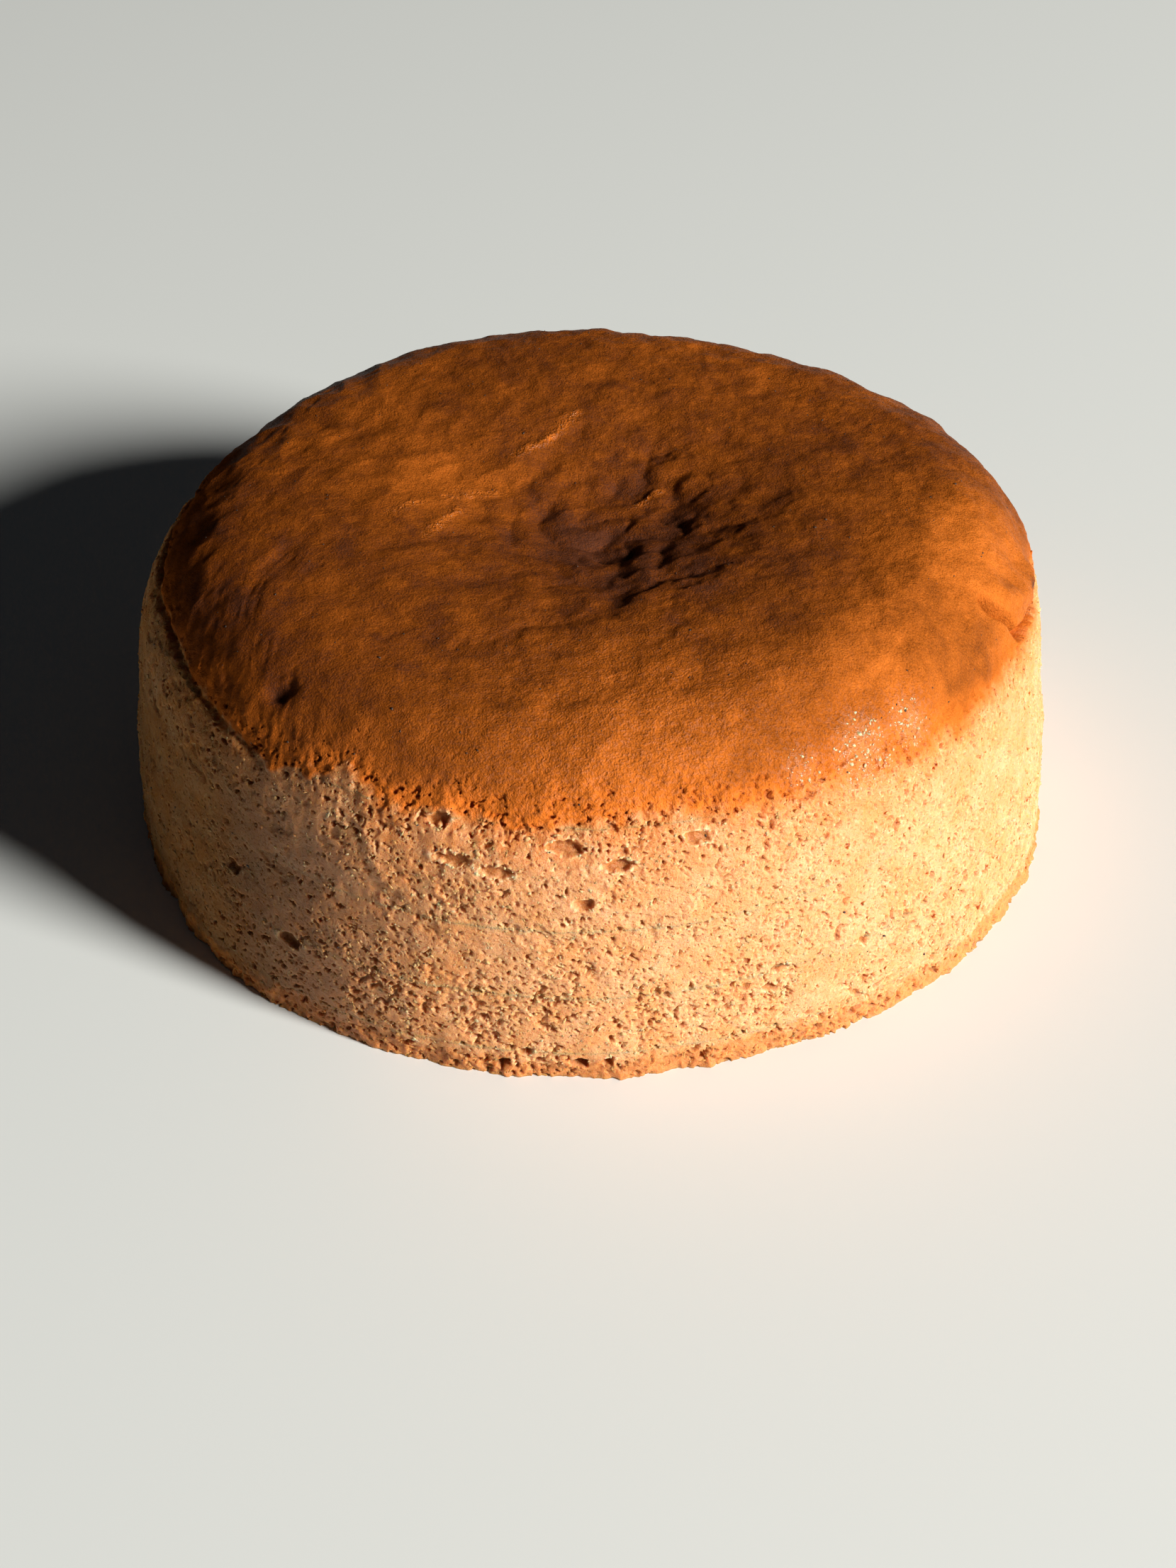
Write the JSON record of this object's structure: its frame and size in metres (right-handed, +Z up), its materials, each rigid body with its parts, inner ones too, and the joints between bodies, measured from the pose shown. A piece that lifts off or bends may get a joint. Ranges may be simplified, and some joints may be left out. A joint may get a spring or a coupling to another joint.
{
  "type": "vanilla sponge cake",
  "caption": "Round plain sponge cake with a browned, wrinkled crust and open crumb round its side, standing whole on its flat base.",
  "frame": {"origin": "centre of the cake's box at its flat base", "axes": "+Z up through the crust; the front, with the torn patch of crust at its left, faces -Y"},
  "size_m": [0.1528, 0.1544, 0.0576],
  "materials": {
    "baked_sponge": "soft open golden crumb round the side, a smooth satin brown crust on top and a thin browned edge at the base"
  },
  "bodies": {
    "root": {"sponge_cake": "baked_sponge"}
  },
  "joints": []
}
